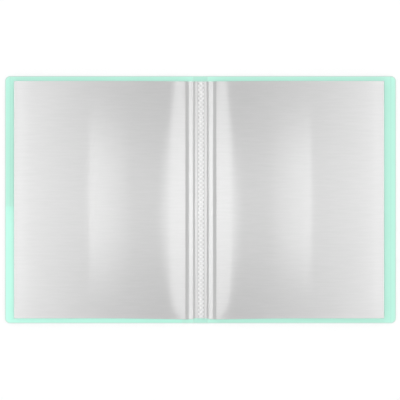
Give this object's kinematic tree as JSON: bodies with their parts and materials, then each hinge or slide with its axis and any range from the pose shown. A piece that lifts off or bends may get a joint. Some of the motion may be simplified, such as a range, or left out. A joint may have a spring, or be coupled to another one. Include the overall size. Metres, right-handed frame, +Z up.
{
  "type": "clear-pocket album",
  "caption": "Open album with a creased plastic cover, film pocket leaves that turn over on a knurled centre weld, and a half-height pocket inside the front board.",
  "frame": {"origin": "middle of the underside of the open album, on the surface it lies on", "axes": "+X to the right-hand page, +Y to the top of the pages, +Z up"},
  "size_m": [0.49, 0.31, 0.0047],
  "materials": {
    "cover_sheet": "satin",
    "inner_film": "satin",
    "pocket_film": "satin",
    "binding_film": "satin"
  },
  "bodies": {
    "spine": {"spine_panel": "cover_sheet", "sheet_weld": "binding_film"},
    "front_cover": {"front_cover": "cover_sheet", "inner_pocket": "inner_film"},
    "back_cover": {"back_cover": "cover_sheet"},
    "front_hinge_strip": {"front_hinge_strip": "binding_film"},
    "back_hinge_strip": {"back_hinge_strip": "binding_film"},
    "pocket_01": {"pocket_01_front_film": "pocket_film", "pocket_01_back_film": "pocket_film"},
    "pocket_02": {"pocket_02_front_film": "pocket_film", "pocket_02_back_film": "pocket_film"},
    "pocket_03": {"pocket_03_front_film": "pocket_film", "pocket_03_back_film": "pocket_film"},
    "pocket_04": {"pocket_04_front_film": "pocket_film", "pocket_04_back_film": "pocket_film"},
    "pocket_05": {"pocket_05_front_film": "pocket_film", "pocket_05_back_film": "pocket_film"},
    "pocket_06": {"pocket_06_front_film": "pocket_film", "pocket_06_back_film": "pocket_film"},
    "pocket_07": {"pocket_07_front_film": "pocket_film", "pocket_07_back_film": "pocket_film"},
    "pocket_08": {"pocket_08_front_film": "pocket_film", "pocket_08_back_film": "pocket_film"},
    "pocket_09": {"pocket_09_front_film": "pocket_film", "pocket_09_back_film": "pocket_film"},
    "pocket_10": {"pocket_10_front_film": "pocket_film", "pocket_10_back_film": "pocket_film"},
    "pocket_20": {"pocket_20_front_film": "pocket_film", "pocket_20_back_film": "pocket_film"},
    "pocket_19": {"pocket_19_front_film": "pocket_film", "pocket_19_back_film": "pocket_film"},
    "pocket_18": {"pocket_18_front_film": "pocket_film", "pocket_18_back_film": "pocket_film"},
    "pocket_17": {"pocket_17_front_film": "pocket_film", "pocket_17_back_film": "pocket_film"},
    "pocket_16": {"pocket_16_front_film": "pocket_film", "pocket_16_back_film": "pocket_film"},
    "pocket_15": {"pocket_15_front_film": "pocket_film", "pocket_15_back_film": "pocket_film"},
    "pocket_14": {"pocket_14_front_film": "pocket_film", "pocket_14_back_film": "pocket_film"},
    "pocket_13": {"pocket_13_front_film": "pocket_film", "pocket_13_back_film": "pocket_film"},
    "pocket_12": {"pocket_12_front_film": "pocket_film", "pocket_12_back_film": "pocket_film"},
    "pocket_11": {"pocket_11_front_film": "pocket_film", "pocket_11_back_film": "pocket_film"}
  },
  "joints": [
    {"name": "front_cover_hinge", "type": "hinge", "parent": "spine", "child": "front_cover", "pos_m": [-0.0088, 0, 0.00035], "axis": [0, 1, 0], "range_deg": [0, 90]},
    {"name": "back_cover_hinge", "type": "hinge", "parent": "spine", "child": "back_cover", "pos_m": [0.0088, 0, 0.00035], "axis": [0, -1, 0], "range_deg": [0, 90]},
    {"name": "front_strip_bend", "type": "hinge", "parent": "spine", "child": "front_hinge_strip", "pos_m": [-0.00222, 0, 0.0025], "axis": [0, 1, 0], "range_deg": [0, 90]},
    {"name": "back_strip_bend", "type": "hinge", "parent": "spine", "child": "back_hinge_strip", "pos_m": [0.00222, 0, 0.0025], "axis": [0, -1, 0], "range_deg": [0, 90]},
    {"name": "pocket_01_turn", "type": "hinge", "parent": "front_hinge_strip", "child": "pocket_01", "pos_m": [0, 0, 0.00472], "axis": [0, -1, 0], "range_deg": [-180, 0]},
    {"name": "pocket_02_turn", "type": "hinge", "parent": "pocket_01", "child": "pocket_02", "pos_m": [0, 0, 0.00472], "axis": [0, -1, 0], "range_deg": [-180, 0]},
    {"name": "pocket_03_turn", "type": "hinge", "parent": "pocket_02", "child": "pocket_03", "pos_m": [0, 0, 0.00472], "axis": [0, -1, 0], "range_deg": [-180, 0]},
    {"name": "pocket_04_turn", "type": "hinge", "parent": "pocket_03", "child": "pocket_04", "pos_m": [0, 0, 0.00472], "axis": [0, -1, 0], "range_deg": [-180, 0]},
    {"name": "pocket_05_turn", "type": "hinge", "parent": "pocket_04", "child": "pocket_05", "pos_m": [0, 0, 0.00472], "axis": [0, -1, 0], "range_deg": [-180, 0]},
    {"name": "pocket_06_turn", "type": "hinge", "parent": "pocket_05", "child": "pocket_06", "pos_m": [0, 0, 0.00472], "axis": [0, -1, 0], "range_deg": [-180, 0]},
    {"name": "pocket_07_turn", "type": "hinge", "parent": "pocket_06", "child": "pocket_07", "pos_m": [0, 0, 0.00472], "axis": [0, -1, 0], "range_deg": [-180, 0]},
    {"name": "pocket_08_turn", "type": "hinge", "parent": "pocket_07", "child": "pocket_08", "pos_m": [0, 0, 0.00472], "axis": [0, -1, 0], "range_deg": [-180, 0]},
    {"name": "pocket_09_turn", "type": "hinge", "parent": "pocket_08", "child": "pocket_09", "pos_m": [0, 0, 0.00472], "axis": [0, -1, 0], "range_deg": [-180, 0]},
    {"name": "pocket_10_turn", "type": "hinge", "parent": "pocket_09", "child": "pocket_10", "pos_m": [0, 0, 0.00472], "axis": [0, -1, 0], "range_deg": [-180, 0]},
    {"name": "pocket_20_turn", "type": "hinge", "parent": "back_hinge_strip", "child": "pocket_20", "pos_m": [0, 0, 0.00472], "axis": [0, 1, 0], "range_deg": [-180, 0]},
    {"name": "pocket_19_turn", "type": "hinge", "parent": "pocket_20", "child": "pocket_19", "pos_m": [0, 0, 0.00472], "axis": [0, 1, 0], "range_deg": [-180, 0]},
    {"name": "pocket_18_turn", "type": "hinge", "parent": "pocket_19", "child": "pocket_18", "pos_m": [0, 0, 0.00472], "axis": [0, 1, 0], "range_deg": [-180, 0]},
    {"name": "pocket_17_turn", "type": "hinge", "parent": "pocket_18", "child": "pocket_17", "pos_m": [0, 0, 0.00472], "axis": [0, 1, 0], "range_deg": [-180, 0]},
    {"name": "pocket_16_turn", "type": "hinge", "parent": "pocket_17", "child": "pocket_16", "pos_m": [0, 0, 0.00472], "axis": [0, 1, 0], "range_deg": [-180, 0]},
    {"name": "pocket_15_turn", "type": "hinge", "parent": "pocket_16", "child": "pocket_15", "pos_m": [0, 0, 0.00472], "axis": [0, 1, 0], "range_deg": [-180, 0]},
    {"name": "pocket_14_turn", "type": "hinge", "parent": "pocket_15", "child": "pocket_14", "pos_m": [0, 0, 0.00472], "axis": [0, 1, 0], "range_deg": [-180, 0]},
    {"name": "pocket_13_turn", "type": "hinge", "parent": "pocket_14", "child": "pocket_13", "pos_m": [0, 0, 0.00472], "axis": [0, 1, 0], "range_deg": [-180, 0]},
    {"name": "pocket_12_turn", "type": "hinge", "parent": "pocket_13", "child": "pocket_12", "pos_m": [0, 0, 0.00472], "axis": [0, 1, 0], "range_deg": [-180, 0]},
    {"name": "pocket_11_turn", "type": "hinge", "parent": "pocket_12", "child": "pocket_11", "pos_m": [0, 0, 0.00472], "axis": [0, 1, 0], "range_deg": [-180, 0]}
  ],
  "couplings": [
    {"joint": "front_strip_bend", "follows": "front_cover_hinge", "ratio": 1},
    {"joint": "back_strip_bend", "follows": "back_cover_hinge", "ratio": 1}
  ]
}
